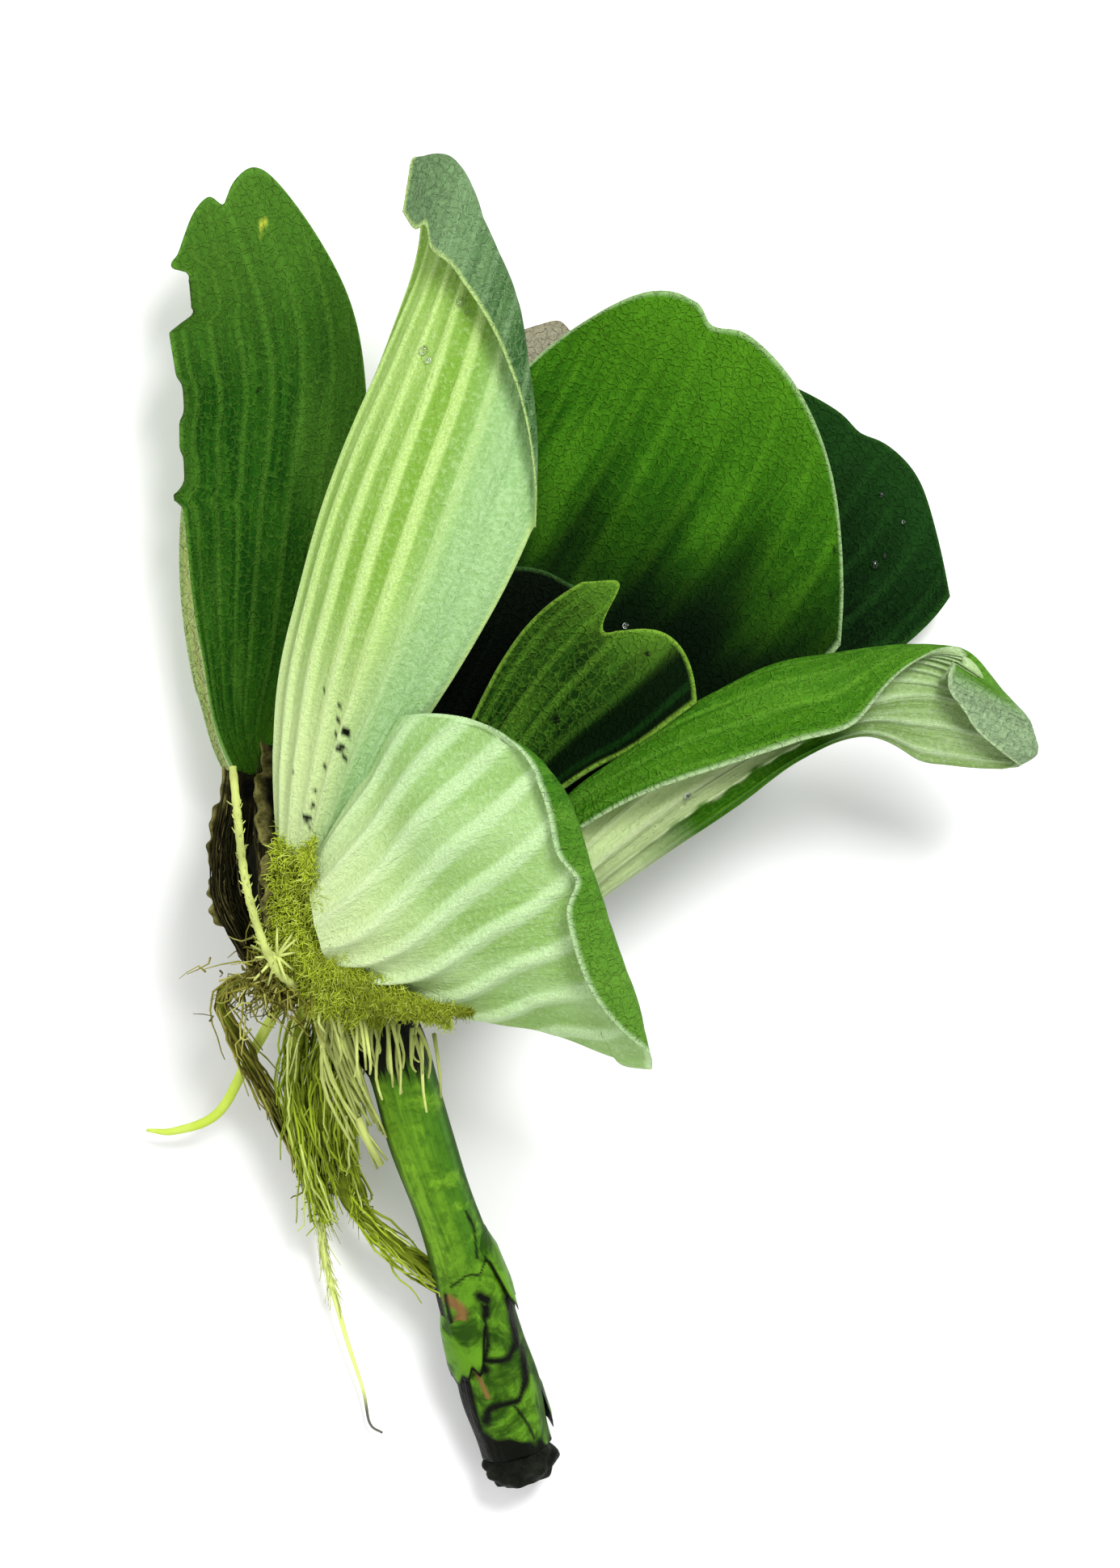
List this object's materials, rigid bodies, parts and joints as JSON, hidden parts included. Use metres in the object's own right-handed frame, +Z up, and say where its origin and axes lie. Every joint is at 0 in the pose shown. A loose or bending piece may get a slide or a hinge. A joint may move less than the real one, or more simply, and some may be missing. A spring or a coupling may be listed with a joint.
{
  "type": "water lettuce plant",
  "caption": "Picked water lettuce rosette lying on its side, with ribbed downy leaves, feathery roots and a cut runner.",
  "frame": {"origin": "middle of the plant's box at the surface it lies on", "axes": "+Z up from that surface, +Y along the plant from the runner's cut end towards the leaf tips, +X towards the leaf that reaches out sideways"},
  "size_m": [0.0896, 0.1338, 0.0439],
  "materials": {
    "leaf_upper": "soft downy green",
    "leaf_underside": "pale downy green with raised ribs",
    "leaf_dark": "dark wet green",
    "withered": "dry and dull",
    "crown": "dense olive down",
    "stolon": "smooth waxy green",
    "rot": "wet black rot",
    "dead_skin": "papery brown and black skin",
    "root": "feathery olive root",
    "pale_root": "pale straw-coloured root",
    "shoot": "smooth bright yellow-green"
  },
  "bodies": {
    "root": {"crown": "crown", "stolon": "stolon", "leaf_front": "leaf_underside", "leaf_tall": "leaf_underside", "leaf_right": "leaf_underside", "leaf_heart": "leaf_upper", "leaf_heart_side": "leaf_upper", "leaf_broad": "leaf_upper", "leaf_dark": "leaf_dark", "leaf_withered": "withered", "leaf_left": "leaf_upper", "leaf_left_under": "leaf_underside", "sheath": "dead_skin", "stolon_skin_top": "dead_skin", "stolon_skin_middle": "dead_skin", "stolon_skin_low": "dead_skin", "stolon_end": "rot", "link_root": "root", "root_1": "root", "root_2": "root", "root_3": "root", "root_4": "root", "root_5": "root", "root_6": "root", "fringe_root_1": "pale_root", "fringe_root_2": "pale_root", "fringe_root_3": "pale_root", "fringe_root_4": "pale_root", "fringe_root_5": "pale_root", "brown_root": "root", "long_root": "root", "young_shoot": "shoot", "root_star": "pale_root", "pale_root": "pale_root"}
  },
  "joints": []
}
